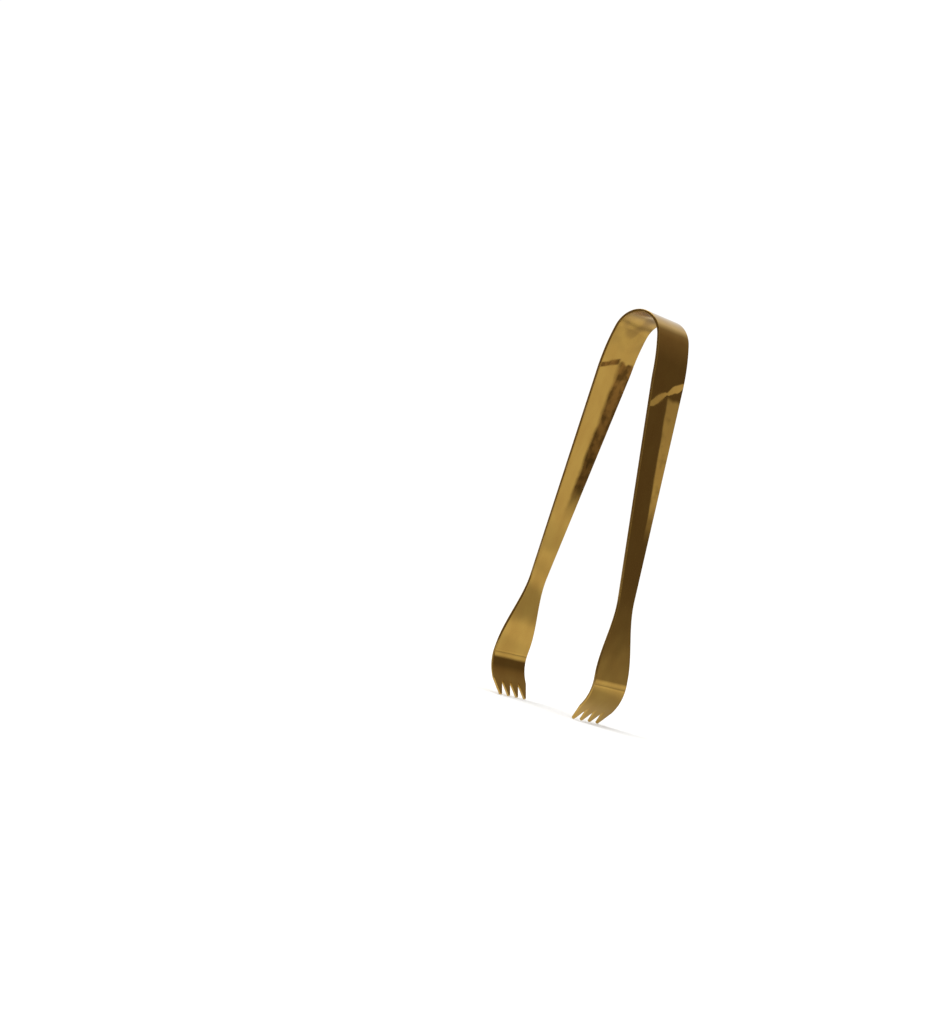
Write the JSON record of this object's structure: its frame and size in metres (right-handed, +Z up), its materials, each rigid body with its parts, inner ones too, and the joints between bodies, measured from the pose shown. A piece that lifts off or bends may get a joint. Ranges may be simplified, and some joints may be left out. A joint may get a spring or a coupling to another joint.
{
  "type": "ice tongs",
  "caption": "Small ice tongs bent from one strip of polished gold-coloured steel, with a round spring bow, tapering arms and inturned toothed claws.",
  "frame": {"origin": "level with the tips of the teeth, midway between the two claws", "axes": "+Z up along the tongs to the bow, +X in the direction in which the right arm opens, +Y across the width of the strip"},
  "size_m": [0.046, 0.018, 0.14],
  "materials": {
    "gold_steel": "polished, gold-coloured coating on stainless steel"
  },
  "bodies": {
    "bow": {"bow_crown": "gold_steel", "left_shoulder": "gold_steel", "right_shoulder": "gold_steel"},
    "left_arm": {"left_arm": "gold_steel", "left_claw": "gold_steel"},
    "right_arm": {"right_arm": "gold_steel", "right_claw": "gold_steel"}
  },
  "joints": [
    {"name": "left_flex", "type": "hinge", "parent": "bow", "child": "left_arm", "pos_m": [-0.01155, 0, 0.12076], "axis": [0, -1, 0], "range_deg": [-3, 7.5], "stiffness_Nm_per_rad": 4.5},
    {"name": "right_flex", "type": "hinge", "parent": "bow", "child": "right_arm", "pos_m": [0.01155, 0, 0.12076], "axis": [0, 1, 0], "range_deg": [-3, 7.5], "stiffness_Nm_per_rad": 4.5}
  ],
  "couplings": [
    {"joint": "right_flex", "follows": "left_flex", "ratio": 1}
  ]
}
